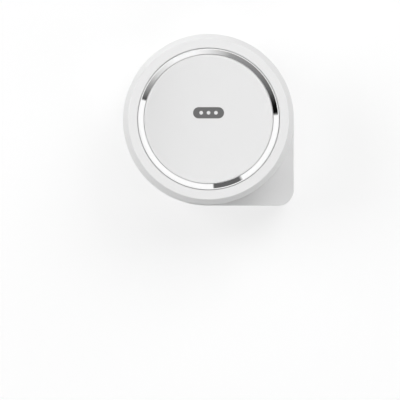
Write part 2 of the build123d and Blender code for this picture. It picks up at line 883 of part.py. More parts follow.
def make_port_flap():
    """Soft flap over the charging port: a rounded hinge end, a tongue and a plug."""
    left = usb_offset - flap_reach
    low = -body_radius
    high = low + flap_thickness
    near = usb_depth - flap_depth_size / 2
    far = usb_depth + flap_depth_size / 2
    flap = block(left, flap_pivot_x, near, far, low, high)
    pivot = Plane.XZ.offset(near) * Pos(flap_pivot_x, flap_pivot_z) * Circle(flap_thickness / 2)
    flap += extrude(pivot, flap_depth_size)
    width = usb_width - 2 * flap_plug_gap
    height = usb_height - 2 * flap_plug_gap
    return flap + oblong_z(usb_offset, usb_depth, width, height, high, high + flap_plug)


def make_flap_anchor():
    """Barbed plug that holds the flap's end in the wall."""
    half = anchor_length / 2
    near = usb_depth - flap_depth_size / 2
    far = usb_depth + flap_depth_size / 2
    high = -flap_floor
    anchor = block(anchor_x - half, anchor_x + half, near, far, -body_radius, high)
    barb = -body_inside
    anchor += upright(anchor_x, usb_depth, anchor_stem_radius, high, barb)
    top = barb + anchor_barb_height
    return anchor + upright(anchor_x, usb_depth, anchor_barb_radius, barb, top)


NODES = {
    "adhesive_pad": make_adhesive_pad,
    "wall_plate": make_wall_plate,
    "body_shell": make_body_shell,
    "back_cover": make_back_cover,
    "cover_screws": make_cover_screws,
    "chamber_liner": make_chamber_liner,
    "quartz_pane": make_quartz_pane,
    "led_board": make_led_board,
    "uvc_leds": make_uvc_leds,
    "led_screws": make_led_screws,
    "brush_fork": make_brush_fork,
    "lid_seal": make_lid_seal,
    "body_magnets": make_body_magnets,
    "hinge_pin": make_hinge_pin,
    "main_board": make_main_board,
    "board_chips": make_board_chips,
    "board_screws": make_board_screws,
    "lid_sensor": make_lid_sensor,
    "power_switch": make_power_switch,
    "light_pipe": make_light_pipe,
    "status_lamp": make_status_lamp,
    "usb_socket": make_usb_socket,
    "usb_tongue": make_usb_tongue,
    "battery": make_battery,
    "battery_tape": make_battery_tape,
    "battery_leads": make_battery_leads,
    "led_leads": make_led_leads,
    "flap_anchor": make_flap_anchor,
    "lid_shell": make_lid_shell,
    "trim_ring": make_trim_ring,
    "face_panel": make_face_panel,
    "lid_liner": make_lid_liner,
    "liner_screws": make_liner_screws,
    "lid_magnets": make_lid_magnets,
    "power_button": make_power_button,
    "port_flap": make_port_flap,
}

os.makedirs("parts", exist_ok=True)
for name, make in NODES.items():
    piece = make()
    piece.label = name
    export_step(piece, f"parts/{name}.step")
    print(name, round(piece.volume, 1))
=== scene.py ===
import math

import bmesh
import bpy
import numpy as np
from bpy.props import FloatProperty, FloatVectorProperty, IntProperty, PointerProperty
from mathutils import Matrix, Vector


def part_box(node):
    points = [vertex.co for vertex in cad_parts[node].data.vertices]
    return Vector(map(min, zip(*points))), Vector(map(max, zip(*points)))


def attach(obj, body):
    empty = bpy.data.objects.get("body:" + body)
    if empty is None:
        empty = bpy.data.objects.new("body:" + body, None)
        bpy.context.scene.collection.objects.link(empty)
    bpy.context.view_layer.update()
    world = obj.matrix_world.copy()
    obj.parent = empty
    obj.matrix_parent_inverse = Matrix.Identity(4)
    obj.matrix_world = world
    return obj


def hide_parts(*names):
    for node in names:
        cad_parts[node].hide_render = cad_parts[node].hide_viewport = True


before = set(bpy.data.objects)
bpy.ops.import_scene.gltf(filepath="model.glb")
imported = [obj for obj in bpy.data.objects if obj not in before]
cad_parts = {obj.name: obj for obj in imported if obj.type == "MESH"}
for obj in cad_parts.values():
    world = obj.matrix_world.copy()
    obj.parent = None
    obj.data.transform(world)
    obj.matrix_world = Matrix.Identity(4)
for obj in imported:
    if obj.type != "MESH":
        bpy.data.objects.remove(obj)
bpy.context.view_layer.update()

# Finishes and fine pieces for a wall-hung toothbrush sanitizer. The wall is the plane
# Y = 0 and the product faces -Y; X runs right and Z up, in metres.

bl_info = {
    "name": "Toothbrush Sanitizer Finishes",
    "version": (1, 0, 0),
    "blender": (4, 5, 0),
    "location": "View3D > Sidebar > Sanitizer",
    "description": "Finishes, printed mark and stage for a wall-hung toothbrush sanitizer",
    "category": "Object",
}

MM = 0.001

# Radii are taken from the lid's axis, and depths from the wall towards the room
RING_LOW, RING_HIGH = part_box("trim_ring")
RING_RADIUS = RING_HIGH.x
RING_TOP = -RING_LOW.y
RING_SEAT = -RING_HIGH.y
PANEL_LOW, PANEL_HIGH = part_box("face_panel")
PANEL_RADIUS = PANEL_HIGH.x
PANEL_RIM = -PANEL_LOW.y
LID_FRONT = -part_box("lid_shell")[0].y


# ---------------------------------------------------------------- settings

def length(name, description, default):
    """A length setting in metres."""
    return FloatProperty(name=name, description=description, default=default, unit="LENGTH", precision=5)


def colour(name, description, default):
    """A colour setting."""
    return FloatVectorProperty(
        name=name, description=description, default=default, size=3, min=0.0, max=1.0, subtype="COLOR"
    )


def share(name, description, default):
    """A share of something, from 0 to 1."""
    return FloatProperty(
        name=name, description=description, default=default, min=0.0, max=1.0, subtype="FACTOR"
    )


def number(name, description, default):
    """A plain number from zero up."""
    return FloatProperty(name=name, description=description, default=default, min=0.0)


def whole(name, description, default, least=1):
    """A whole number."""
    return IntProperty(name=name, description=description, default=default, min=least)


def watts(name, description, default):
    """The power of a lamp."""
    return FloatProperty(name=name, description=description, default=default, min=0.0, unit="POWER")


class SanitizerPlastic(bpy.types.PropertyGroup):
    """Moulded and soft plastic finishes."""
    shell: colour("Shell", "Satin white of the lid and body", (0.83, 0.83, 0.83))
    panel: colour("Panel", "White of the round face panel", (0.808, 0.808, 0.808))
    hidden: colour("Back", "White of the back cover and wall plate", (0.84, 0.84, 0.83))
    silicone: colour("Silicone", "Soft parts", (0.78, 0.79, 0.79))
    seal: colour("Seal", "Grey of the lid seal", (0.42, 0.43, 0.44))
    foam: colour("Foam", "Grey of the foam tape", (0.2, 0.205, 0.21))
    grain: length("Grain", "Size of the shell's moulded grain", 0.22 * MM)
    back_grain: number("Back grain", "Size of the back's grain, in times the shell's", 1.6)
    panel_grain: number("Panel grain", "Size of the panel's grain, in times the shell's", 2.0)


class SanitizerRing(bpy.types.PropertyGroup):
    """The bright ring round the panel."""
    plating: colour("Plating", "Colour of the plating", (0.985, 0.985, 0.985))
    joint: length("Joint", "Dark joint between the panel and the ring", 0.15 * MM)
    bevel: length("Bevel", "Width of the outer bevel", 0.35 * MM)
    rise: length("Rise", "Height of the band's outer edge over its inner edge", 0.35 * MM)
    rounding: length("Rounding", "Radius of its edges", 0.04 * MM)
    steps: whole("Steps", "Facets round the ring", 288, 48)


class SanitizerPanel(bpy.types.PropertyGroup):
    """The dished face panel and the printed mark on it."""
    dish: length("Dish", "Depth of the dish in the middle", 0.7 * MM)
    rounding: length("Rounding", "Radius of its edge", 0.12 * MM)
    steps: whole("Steps", "Facets round the panel", 288, 48)
    mark_width: length("Mark width", "Length of the printed pill", 11.6 * MM)
    mark_height: length("Mark height", "Height of the printed pill", 4.2 * MM)
    mark_level: length("Mark level", "Height of the pill over the middle", 2.35 * MM)
    mark_film: length("Mark film", "Thickness of the printed film", 0.04 * MM)
    mark_colour: colour("Mark", "Dark grey of the pill", (0.139, 0.139, 0.139))
    dot_radius: length("Dot radius", "Radius of the pale dots on the pill", 0.7 * MM)
    dot_pitch: length("Dot pitch", "Distance between the pale dots", 2.75 * MM)
    dot_colour: colour("Dots", "Pale grey of the dots", (0.8, 0.8, 0.8))
    ink_grain: length("Ink grain", "Size of the ink's grain", 0.12 * MM)


class SanitizerDetails(bpy.types.PropertyGroup):
    """Soft and small parts of the chamber and the charging port."""
    fork_cell: length("Fork cell", "Mesh size of the rounded fork", 0.16 * MM)
    flap_cell: share("Flap cell", "Mesh size of the rounded flap, as a share of the fork's", 0.7)
    fork_passes: whole("Fork passes", "Times that the fork's mesh is smoothed", 10)
    flap_passes: whole("Flap passes", "Times that the flap's mesh is smoothed", 5)
    seal_width: length("Seal width", "Width of the lid seal", 1.0 * MM)
    lens_radius: length("Lens radius", "Radius of the lamp lenses", 1.15 * MM)
    lens_crown: length("Lens crown", "Height of a lens's dome", 0.2 * MM)
    lens_rim: share("Lens rim", "Depth of the dome's rim under the lamp's face, as a share of the crown", 0.3)
    lens_seat: length("Lens seat", "Depth of a lens's back under the lamp's face", 0.35 * MM)
    contacts: whole("Contacts", "Contacts on each side of the tongue", 12, 2)
    contact_pitch: length("Contact pitch", "Distance between the contacts", 0.5 * MM)
    contact_length: length("Contact length", "Length of a contact", 3.4 * MM)
    contact_rise: length("Contact rise", "Height of a contact over the tongue", 0.03 * MM)


class SanitizerInside(bpy.types.PropertyGroup):
    """Colours of the metal, clear and electric parts."""
    tray: colour("Trays", "Metallised trays of the chamber", (0.86, 0.87, 0.88))
    quartz: colour("Quartz", "Pane over the lamps", (0.93, 0.97, 1.0))
    lens: colour("Lenses", "Domes on the lamps", (0.9, 0.93, 1.0))
    pipe: colour("Light pipe", "Milky acrylic of the light pipe", (0.86, 0.88, 0.87))
    ceramic: colour("Ceramic", "Lamp packages", (0.86, 0.8, 0.62))
    lamp_board: colour("Lamp board", "White solder mask", (0.76, 0.77, 0.76))
    lamp_pads: colour("Lamp board pads", "Plating of its pads", (0.8, 0.68, 0.42))
    main_board: colour("Main board", "Green solder mask", (0.02, 0.11, 0.05))
    main_pads: colour("Main board pads", "Plating of its pads", (0.8, 0.6, 0.28))
    chip: colour("Chips", "Black moulded packages", (0.035, 0.035, 0.04))
    lead: colour("Leads", "Red insulation", (0.55, 0.05, 0.04))
    battery: colour("Battery", "Foil pouch", (0.62, 0.65, 0.7))
    screw: colour("Screws", "Zinc plating", (0.42, 0.42, 0.44))
    pin: colour("Hinge pin", "Drawn steel", (0.62, 0.62, 0.64))
    magnet: colour("Magnets", "Nickel plating", (0.7, 0.67, 0.62))
    socket: colour("Socket", "Steel shell of the charging socket", (0.6, 0.6, 0.62))
    contact: colour("Contacts", "Gold plating", (0.83, 0.62, 0.25))


class SanitizerStage(bpy.types.PropertyGroup):
    """Wall, light and camera."""
    wall: colour("Wall", "Colour of the wall", (1.0, 1.0, 1.0))
    wall_own: share("Wall contrast", "Share of the wall's look that light and shadow give", 0.39)
    wall_size: length("Wall size", "Width and height of the wall", 2.4)
    wall_gap: length("Wall gap", "From the adhesive face back to the wall", 0.05 * MM)
    camera_distance: length("Camera distance", "From the lid's edge to the camera", 0.9)
    camera_right: length("Camera right", "Camera's place to the right of the lid's middle", -3.2 * MM)
    camera_level: length("Camera level", "Camera's height over the lid's middle", -30.3 * MM)
    view_width: length("View width", "Width of the view at the lid's edge", 0.15)
    lid_edge: length("Lid edge", "From the lid's front back to its widest edge", 2.5 * MM)
    lamp_size: length("Lamp size", "Side of each square lamp", 1.0)
    left_power: watts("Left lamp", "Power of the lamp on the left", 12.5)
    upper_power: watts("Upper lamp", "Power of the lamp in front and above", 4.3)
    right_power: watts("Right lamp", "Power of the lamp up on the right", 10.3)
    side_power: watts("Side lamp", "Power of the lamp low on the right", 4.5)
    lower_power: watts("Lower lamp", "Power of the lamp below", 6.1)
    back_power: watts("Back lamp", "Power of the lamp behind the wall", 8.0)
    ambient: number("Ambient", "Strength of the even light from the room", 0.1)
    bounce: number("Bounce", "Strength of the even light from behind the wall plane", 0.445)


# ---------------------------------------------------------------- shader maths

class Wire:
    """An output socket of a shader graph. Arithmetic on it adds Math nodes."""

    def __init__(self, graph, socket):
        self.graph = graph
        self.socket = socket

    def __add__(self, other):
        return self.graph.maths("ADD", self, other)

    def __radd__(self, other):
        return self.graph.maths("ADD", other, self)

    def __sub__(self, other):
        return self.graph.maths("SUBTRACT", self, other)

    def __rsub__(self, other):
        return self.graph.maths("SUBTRACT", other, self)

    def __mul__(self, other):
        return self.graph.maths("MULTIPLY", self, other)

    def __rmul__(self, other):
        return self.graph.maths("MULTIPLY", other, self)

    def __truediv__(self, other):
        return self.graph.maths("DIVIDE", self, other)

    def __rtruediv__(self, other):
        return self.graph.maths("DIVIDE", other, self)

    def __neg__(self):
        return self.graph.maths("MULTIPLY", self, -1.0)

    def __gt__(self, other):
        return self.graph.maths("GREATER_THAN", self, other)

    def __lt__(self, other):
        return self.graph.maths("LESS_THAN", self, other)


class Graph:
    """A node tree whose nodes come from one method."""

    def __init__(self, tree):
        self.tree = tree
        tree.nodes.clear()

    def add(self, kind, settings=None, inputs=None, out=0):
        """Adds a node: its type, its settings (set first), then values or wires by socket."""
        node = self.tree.nodes.new(kind)
        for key, value in (settings or {}).items():
            if key == "stops":
                self.set_stops(node.color_ramp, value)
            else:
                setattr(node, key, value)
        for key, value in (inputs or {}).items():
            socket = node.inputs[key]
            if isinstance(value, Wire):
                self.tree.links.new(value.socket, socket)
            else:
                socket.default_value = value
        return Wire(self, node.outputs[out]) if len(node.outputs) else node

    @staticmethod
    def set_stops(ramp, stops):
        """Sets a ramp's (position, grey) stops."""
        while len(ramp.elements) > 1:
            ramp.elements.remove(ramp.elements[-1])
        for i, (place, grey) in enumerate(stops):
            stop = ramp.elements[0] if i == 0 else ramp.elements.new(place)
            stop.position = place
            stop.color = (grey, grey, grey, 1.0)

    def outputs(self, kind, inputs=None):
        """Adds a node and gives all its outputs, by name."""
        node = self.add(kind, None, inputs).socket.node
        return {socket.name: Wire(self, socket) for socket in node.outputs}

    def maths(self, operation, *values):
        """Adds a Math node that works on the values, and gives its result."""
        return self.add("ShaderNodeMath", {"operation": operation}, dict(enumerate(values)))

    def place(self):
        """Object coordinates, as a vector wire."""
        return self.add("ShaderNodeTexCoord", out="Object")

    def noise(self, vector, scale, detail=2.0):
        """Grey noise whose features are about 1 / scale metres."""
        inputs = {"Vector": vector, "Scale": scale, "Detail": detail, "Roughness": 0.5}
        return self.add("ShaderNodeTexNoise", None, inputs)

    def mix(self, factor, first, second):
        """Blend of two colours, whose sockets on the node are 6, 7 and, going out, 2."""
        return self.add("ShaderNodeMix", {"data_type": "RGBA"}, {0: factor, 6: first, 7: second}, out=2)

    def mottled(self, pattern, tint, at_zero, at_one):
        """Tint times one share where a grey pattern is 0, and another where it is 1."""
        return self.mix(pattern, rgba(tint, at_zero), rgba(tint, at_one))

    def bump(self, height, relief):
        """Normal from a height between 0 and 1, whose relief is in metres."""
        return self.add("ShaderNodeBump", None, {"Height": height, "Distance": relief, "Strength": 1.0})

    def surface(self, **inputs):
        """Principled surface to the output."""
        named = {key.replace("_", " "): value for key, value in inputs.items()}
        shader = self.add("ShaderNodeBsdfPrincipled", None, named)
        self.add("ShaderNodeOutputMaterial", None, {"Surface": shader})


def material(name):
    """New material and its empty graph."""
    made = bpy.data.materials.new(name)
    made.use_nodes = True
    return made, Graph(made.node_tree)


def rgba(values, factor=1.0):
    """Colour of three numbers as four, scaled and kept to 1 at most."""
    return (*[min(1.0, value * factor) for value in values], 1.0)


def swing(pattern, spread):
    """A grey pattern from 0 to 1 as a change up and down, spread wide from end to end."""
    return (pattern - 0.5) * spread


# ---------------------------------------------------------------- finishes

def moulded(name, tint, grain, roughness, relief, ior=1.5):
    """Moulded plastic: a fine spark-eroded grain, faint flow clouds and uneven gloss."""
    made, graph = material(name)
    place = graph.place()
    fine = graph.noise(place, scale=1.0 / grain)
    cloud = graph.noise(place, scale=60.0, detail=3.0)
    base = graph.mottled(cloud, tint, at_zero=0.985, at_one=1.01)
    gloss = roughness + swing(cloud, spread=0.08) + swing(fine, spread=0.06)
    graph.surface(Base_Color=base, Roughness=gloss, Normal=graph.bump(fine, relief), IOR=ior)
    return made


def soft_rubber(name, tint, relief, roughness=0.62):
    """Silicone or rubber: dull, faintly mottled, with a fine dusting."""
    made, graph = material(name)
    place = graph.place()
    mottle = graph.noise(place, scale=900.0, detail=4.0)
    dust = graph.noise(place, scale=5200.0, detail=1.0)
    base = graph.mottled(mottle, tint, at_zero=0.93, at_one=1.04)
    gloss = roughness + swing(dust, spread=0.2)
    normal = graph.bump(mottle * 0.6 + dust * 0.4, relief)
    graph.surface(Base_Color=base, Roughness=gloss, Normal=normal, IOR=1.41)
    return made


def foam(name, tint):
    """Closed-cell foam: packed round cells, whose pits that the bump sinks are darkened in the colour as
    painted shade.
    """
    made, graph = material(name)
    cells = graph.add("ShaderNodeTexVoronoi", None, {"Vector": graph.place(), "Scale": 3200.0})
    # The cell pattern darkens the colour where the bump sinks the pits: painted shade in the pits.
    base = graph.mottled(cells, tint, at_zero=0.7, at_one=1.25)
    graph.surface(Base_Color=base, Roughness=0.9, Normal=graph.bump(cells, relief=0.08 * MM))
    return made


def bright_metal(name, tint, roughness, relief, brushed=0.0):
    """Metal with slightly uneven polish; brushed draws fine lines across it."""
    made, graph = material(name)
    place = graph.place()
    drawn = {"Vector": place, "Scale": (1.0, 1.0, 1.0 + brushed)}
    polish = graph.noise(graph.add("ShaderNodeMapping", None, drawn), scale=700.0, detail=3.0)
    haze = graph.noise(place, scale=90.0)
    base = graph.mottled(polish, tint, at_zero=0.97, at_one=1.02)
    gloss = roughness + swing(haze, spread=roughness * 0.6) + swing(polish, spread=roughness * 0.5)
    graph.surface(Base_Color=base, Metallic=1.0, Roughness=gloss, Normal=graph.bump(polish, relief))
    return made


def clear(name, tint, roughness=0.02, milk=0.08):
    """Clear quartz or acrylic with faint streaks in its polish; milk makes it cloudy."""
    made, graph = material(name)
    streak = graph.noise(graph.place(), scale=260.0)
    gloss = roughness + streak * 0.03
    graph.surface(Base_Color=rgba(tint), Roughness=gloss, Transmission_Weight=1.0 - milk, IOR=1.46)
    return made


def board(name, mask, plating, pour):
    """Circuit board: solder mask over copper areas about pour metres long, and small vias."""
    made, graph = material(name)
    place = graph.place()
    turned = graph.add("ShaderNodeMapping", None, {"Vector": place, "Rotation": (math.pi / 2, 0.0, 0.0)})
    brick_length, vias_to_pour, via_radius = 0.5, 1.3, 0.09
    brick = {"Vector": turned, "Scale": brick_length / pour, "Mortar Size": 0.012, "Mortar Smooth": 0.3}
    gaps = graph.add("ShaderNodeTexBrick", {"offset": 0.37}, brick, out="Fac")
    cells = graph.add("ShaderNodeTexVoronoi", None, {"Vector": turned, "Scale": vias_to_pour / pour})
    vias = cells < via_radius
    weave = graph.noise(place, scale=2600.0)
    ground = graph.mottled(gaps * 0.6 + weave * 0.3, mask, at_zero=1.0, at_one=0.86)
    base = graph.mix(vias, ground, rgba(plating))
    normal = graph.bump((1.0 - gaps) * 0.7 + weave * 0.2, relief=0.03 * MM)
    graph.surface(Base_Color=base, Roughness=0.34 - vias * 0.1, Metallic=vias * 0.9, Normal=normal)
    return made


def dress(finish, *nodes):
    """Gives CAD nodes one finish."""
    for node in nodes:
        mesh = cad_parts[node].data
        mesh.materials.clear()
        mesh.materials.append(finish)


# ---------------------------------------------------------------- surfaces

def placed(name, mesh):
    """New object at the origin that holds the mesh."""
    piece = bpy.data.objects.new(name, mesh)
    bpy.context.scene.collection.objects.link(piece)
    return piece


def smooth(mesh):
    """Shades all the faces of a mesh smooth."""
    mesh.polygons.foreach_set("use_smooth", np.ones(len(mesh.polygons), dtype=bool))


def mesh_piece(name, points, faces, finish):
    """Object from a vertex array and an array of faces, smooth shaded."""
    mesh = bpy.data.meshes.new(name)
    mesh.from_pydata(points.reshape(-1, 3).tolist(), [], faces.tolist())
    mesh.validate()
    smooth(mesh)
    mesh.materials.append(finish)
    return placed(name, mesh)


def grid(rings, sides):
    """Faces between rings of points that are numbered ring by ring, sides to a ring.

    Each face joins two neighbouring points of a ring to the same two of the next.
    """
    row = np.arange(rings - 1)[:, None] * sides
    column = np.arange(sides)[None, :]
    ahead = (column + 1) % sides
    faces = [row + column, row + ahead, row + sides + ahead, row + sides + column]
    return np.stack(faces, axis=-1).reshape(-1, 4)


def rounded_profile(points, radius, steps=5):
    """Closed outline through the points, each corner replaced by a short arc.

    Each arc is the quadratic curve from the point radius before the corner to the
    point radius after it, with the corner as its control point. One more point just
    outside each end of the arc keeps the faces between the arcs flat in shading.
    """
    corners = np.asarray(points, float)
    before = np.roll(corners, 1, axis=0) - corners
    after = np.roll(corners, -1, axis=0) - corners
    before /= np.linalg.norm(before, axis=1, keepdims=True)
    after /= np.linalg.norm(after, axis=1, keepdims=True)
    start = corners + before * radius
    end = corners + after * radius
    t = np.linspace(0.0, 1.0, steps)[None, :, None]
    arcs = (1 - t) ** 2 * start[:, None] + 2 * t * (1 - t) * corners[:, None] + t ** 2 * end[:, None]
    guard = radius * 1.3
    first = (corners + before * guard)[:, None]
    last = (corners + after * guard)[:, None]
    return np.concatenate([first, arcs, last], axis=1).reshape(-1, 2)


def revolved(profile, steps, closed=True, x=0.0, z=0.0):
    """Surface of revolution about an axis along Y, the lid's own unless x and z say more.

    A profile point (r, d) becomes (x + r cos a, -d, z + r sin a) for the angle a round it.
    The faces join each profile point to the next, and the last to the first where closed.
    """
    angle = np.linspace(0.0, 2 * math.pi, steps, endpoint=False)[:, None]
    radius, depth = profile[:, 0][None, :], profile[:, 1][None, :]
    points = np.stack(
        [x + radius * np.cos(angle), -depth + 0 * angle, z + radius * np.sin(angle)], axis=-1
    )
    count = len(profile)
    row = np.arange(steps)[:, None]
    column = np.arange(count if closed else count - 1)[None, :]
    here = row * count + column
    along = row * count + (column + 1) % count
    ahead = ((row + 1) % steps) * count + column
    both = ((row + 1) % steps) * count + (column + 1) % count
    return points, np.stack([here, along, both, ahead], axis=-1).reshape(-1, 4)


def outward(piece):
    """Turns the faces outwards after merging doubled points."""
    work = bmesh.new()
    work.from_mesh(piece.data)
    bmesh.ops.remove_doubles(work, verts=work.verts, dist=0.0001 * MM)
    bmesh.ops.recalc_face_normals(work, faces=work.faces)
    work.to_mesh(piece.data)
    work.free()
    return piece


def dish_depth(radius):
    """Depth of the dished panel's front at a distance from its middle.

    The front is part of a ball: level in the middle, at the rim's depth at the edge.
    """
    dish = bpy.context.scene.sanitizer_panel.dish
    ball = (PANEL_RADIUS ** 2 + dish ** 2) / (2 * dish)
    return PANEL_RIM - dish + ball - np.sqrt(ball ** 2 - np.asarray(radius) ** 2)


def film(name, outline, rings, lift, thickness, finish):
    """Thin printed film that follows the dished panel.

    The outline's points are drawn in towards their middle in even rings, and each point
    (x, z) is laid at the dish's depth plus the film's lift. The edge drops into the dish,
    and the back is a fan from the edge to a middle point as deep.
    """
    outline = np.asarray(outline, float)
    middle = outline.mean(axis=0)
    shares = np.linspace(1.0, 0.0, rings + 1)[:-1]
    flat = middle + (outline - middle)[None] * shares[:, None, None]
    flat = np.concatenate([flat[:1], flat])
    level = np.full(flat.shape[:2], lift + thickness)
    level[0] = lift - thickness
    depth = dish_depth(np.hypot(flat[..., 0], flat[..., 1])) + level
    points = np.stack([flat[..., 0], -depth, flat[..., 1]], axis=-1).reshape(-1, 3)
    ground = dish_depth(np.hypot(*middle)) + lift
    peak, base = [[middle[0], -(ground + side * thickness), middle[1]] for side in (1, -1)]
    points = np.vstack([points, peak, base])
    count = len(outline)
    faces = grid(rings + 1, count).tolist()
    column = np.arange(count)
    ahead = (column + 1) % count
    for first, tip in ((rings * count, len(points) - 2), (0, len(points) - 1)):
        faces += np.stack([first + column, first + ahead, np.full(count, tip)], axis=-1).tolist()
    mesh = bpy.data.meshes.new(name)
    mesh.from_pydata(points.tolist(), [], faces)
    mesh.materials.append(finish)
    return outward(placed(name, mesh))


def softened(node, name, cell, passes, finish):
    """Copy of a soft CAD node with its edges rounded off.

    The copy becomes an even mesh of small cells, and each pass draws every point half of
    the way to the middle of its neighbours, which rounds edges and leaves flats flat.
    """
    piece = outward(placed(name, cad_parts[node].data.copy()))
    even = piece.modifiers.new("even", "REMESH")
    even.mode = "VOXEL"
    even.voxel_size = cell
    rounded = piece.modifiers.new("rounded", "SMOOTH")
    rounded.factor = 0.5
    rounded.iterations = passes
    ready = piece.evaluated_get(bpy.context.evaluated_depsgraph_get())
    mesh = bpy.data.meshes.new_from_object(ready)
    piece.modifiers.clear()
    piece.data = mesh
    mesh.materials.clear()
    mesh.materials.append(finish)
    smooth(mesh)
    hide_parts(node)
    return piece


def squared(angle, power):
    """Cosine and sine drawn out towards a square's corners: each keeps its sign."""
    c, s = np.cos(angle), np.sin(angle)
    return np.sign(c) * np.abs(c) ** power, np.sign(s) * np.abs(s) ** power


def bead(name, radius, half_gap, depth, size, finish, steps=240, sides=20):
    """Soft bead on a circle about the lid's axis, open at the hinge.

    Its section is a squared circle, |u|^4 + |v|^4 = 1, as wide and as high as size. Over
    the last stretch to each end, one bead width long, the section shrinks along a quarter
    circle, so that the ends are round.
    """
    start = math.asin(half_gap / radius)
    turn = np.linspace(start, 2 * math.pi - start, steps)
    width, height = size
    near = np.minimum(turn - turn[0], turn[-1] - turn) * radius / width
    shrink = np.sqrt(1.0 - (1.0 - np.minimum(near, 1.0)) ** 2)[:, None]
    across, out = squared(np.linspace(0.0, 2 * math.pi, sides, endpoint=False), power=0.5)
    distance = radius + shrink * across[None, :] * width / 2
    level = depth + shrink * out[None, :] * height / 2
    turn = turn[:, None]
    points = np.stack([distance * np.cos(turn), -level, distance * np.sin(turn)], axis=-1)
    return outward(mesh_piece(name, points, grid(steps, sides), finish))


def pillows(name, centres, size, finish, rows=7, sides=12):
    """Small rounded blocks, each a squared ball of the given size at its own centre.

    For the angle p from pole to pole and q round the ball, the point is
    (sin p cos q, sin p sin q, cos p) with each sine and cosine drawn out, times half the size.
    """
    pole, ring = squared(np.linspace(-math.pi / 2, math.pi / 2, rows), power=0.4)
    across, out = squared(np.linspace(0.0, 2 * math.pi, sides, endpoint=False), power=0.4)
    ball = np.stack([pole[:, None] * across, pole[:, None] * out, ring[:, None] + 0 * out], axis=-1)
    ball = ball * np.asarray(size) / 2
    points = np.asarray(centres)[:, None, None, :] + ball[None]
    block = np.arange(len(centres))[:, None, None] * rows * sides
    faces = (block + grid(rows, sides)[None]).reshape(-1, 4)
    return outward(mesh_piece(name, points, faces, finish))


def pill_outline(width, height, level, steps=24):
    """Stadium outline in front view: two half circles joined by straight runs."""
    radius = height / 2
    reach = width / 2 - radius
    right = np.linspace(-math.pi / 2, math.pi / 2, steps)
    left = right + math.pi
    x = np.concatenate([reach + radius * np.cos(right), radius * np.cos(left) - reach])
    z = level + radius * np.sin(np.concatenate([right, left]))
    return np.stack([x, z], axis=-1)


def circle_outline(x, z, radius, steps=20):
    """Circle in front view."""
    angle = np.linspace(0.0, 2 * math.pi, steps, endpoint=False)
    return np.stack([x + radius * np.cos(angle), z + radius * np.sin(angle)], axis=-1)


# ---------------------------------------------------------------- operators

class SANITIZER_OT_shell(bpy.types.Operator):
    """Satin white plastic on the lid, body, back and wall plate"""
    bl_idname = "sanitizer.shell"
    bl_label = "Shell finish"

    def execute(self, context):
        look = context.scene.sanitizer_plastic
        satin = moulded("shell_satin", look.shell, look.grain, roughness=0.42, relief=0.006 * MM)
        dress(satin, "lid_shell", "body_shell")
        button = moulded("button_satin", look.shell, look.grain, roughness=0.36, relief=0.004 * MM)
        dress(button, "power_button")
        coarse = look.grain * look.back_grain
        back = moulded("back_matte", look.hidden, coarse, roughness=0.55, relief=0.014 * MM)
        dress(back, "back_cover", "wall_plate")
        return {"FINISHED"}


class SANITIZER_OT_ring(bpy.types.Operator):
    """Bright ring with a conical band, a narrow bevel and rounded edges"""
    bl_idname = "sanitizer.ring"
    bl_label = "Bright ring"

    def execute(self, context):
        ring = context.scene.sanitizer_ring
        inner = PANEL_RADIUS + ring.joint
        band = RING_RADIUS - ring.bevel
        low = RING_TOP - ring.rise
        section = [(inner, RING_SEAT), (RING_RADIUS, RING_SEAT), (RING_RADIUS, low)]
        section += [(band, RING_TOP), (inner, low)]
        points, quads = revolved(rounded_profile(section, ring.rounding), ring.steps)
        finish = bright_metal("ring_plating", ring.plating, roughness=0.02, relief=0.00005 * MM)
        piece = outward(mesh_piece("bright_ring", points, quads, finish))
        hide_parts("trim_ring")
        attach(piece, "lid")
        return {"FINISHED"}


class SANITIZER_OT_panel(bpy.types.Operator):
    """Dished round face panel with a rounded edge"""
    bl_idname = "sanitizer.panel"
    bl_label = "Face panel"

    def execute(self, context):
        panel = context.scene.sanitizer_panel
        look = context.scene.sanitizer_plastic
        turn = panel.rounding
        flat = PANEL_RADIUS - turn
        front = np.linspace(0.0, flat, num=40)
        edge = np.linspace(0.0, math.pi / 2, num=7)[1:]
        centre = float(dish_depth(flat)) - turn
        radius = np.concatenate([front, flat + turn * np.sin(edge), [PANEL_RADIUS, 0.0]])
        depth = np.concatenate([dish_depth(front), centre + turn * np.cos(edge), [RING_SEAT] * 2])
        points, quads = revolved(np.stack([radius, depth], axis=-1), panel.steps, closed=False)
        grain = look.grain * look.panel_grain
        finish = moulded("panel_gloss", look.panel, grain, roughness=0.1, relief=0.001 * MM, ior=1.75)
        piece = outward(mesh_piece("dished_panel", points, quads, finish))
        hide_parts("face_panel")
        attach(piece, "lid")
        return {"FINISHED"}


class SANITIZER_OT_mark(bpy.types.Operator):
    """Printed pill with three pale dots, laid on the dish"""
    bl_idname = "sanitizer.mark"
    bl_label = "Printed mark"

    def execute(self, context):
        panel = context.scene.sanitizer_panel
        grain = panel.ink_grain
        ink = moulded("mark_ink", panel.mark_colour, grain, roughness=0.4, relief=0.002 * MM)
        pale = moulded("dot_ink", panel.dot_colour, grain, roughness=0.45, relief=0.002 * MM)
        outline = pill_outline(panel.mark_width, panel.mark_height, panel.mark_level)
        pill = film("printed_pill", outline, rings=10, lift=0.0, thickness=panel.mark_film, finish=ink)
        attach(pill, "lid")
        thin = panel.mark_film / 2
        for step, name in enumerate(("printed_dot_left", "printed_dot_middle", "printed_dot_right")):
            x = (step - 1) * panel.dot_pitch
            outline = circle_outline(x, panel.mark_level, panel.dot_radius)
            dot = film(name, outline, rings=3, lift=panel.mark_film, thickness=thin, finish=pale)
            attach(dot, "lid")
        return {"FINISHED"}


